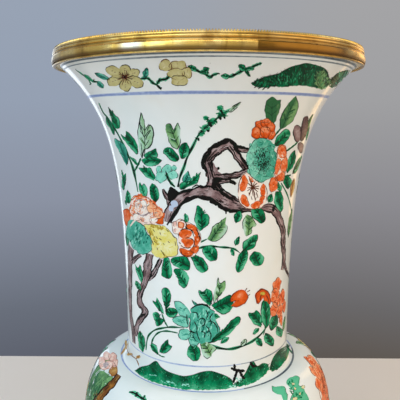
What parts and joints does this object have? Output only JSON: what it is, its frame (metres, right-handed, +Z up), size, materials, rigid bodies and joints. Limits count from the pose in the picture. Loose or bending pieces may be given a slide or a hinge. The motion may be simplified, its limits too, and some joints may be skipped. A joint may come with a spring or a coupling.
{
  "type": "yen yen vase",
  "caption": "Tall porcelain vase with a trumpet neck, rounded shoulder and spreading foot, painted with famille-verte flowers, with a moulded gilt-metal collar over its lip.",
  "frame": {"origin": "centre of the standing face, on the table", "axes": "+Z up along the turning axis, from the foot to the mouth; -Y is the side the picture shows"},
  "size_m": [0.2229, 0.223, 0.46],
  "materials": {
    "porcelain": "glossy, slightly cool white glaze",
    "slip": "fired slip under the glaze",
    "biscuit": "unglazed, smoothed standing ring",
    "gilt_metal": "worn, softly polished gilt",
    "bedding": "dry plaster bedding",
    "green_enamel": "glossy translucent green enamel",
    "turquoise_enamel": "glossy blue-green enamel",
    "iron_red": "thin iron-red enamel",
    "yellow_enamel": "glossy pale yellow enamel",
    "aubergine_enamel": "glossy aubergine-brown enamel",
    "black_line": "thin dark drawing under the enamels",
    "blue_line": "soft underglaze blue"
  },
  "bodies": {
    "root": {"foot_section": "porcelain", "waist_slip": "slip", "lower_body_section": "porcelain", "belly_slip": "slip", "shoulder_section": "porcelain", "neck_slip": "slip", "neck_section": "porcelain", "rim_bedding": "bedding", "inner_rim_band": "gilt_metal", "rim_collar": "gilt_metal", "milled_edge": "gilt_metal"}
  },
  "joints": []
}
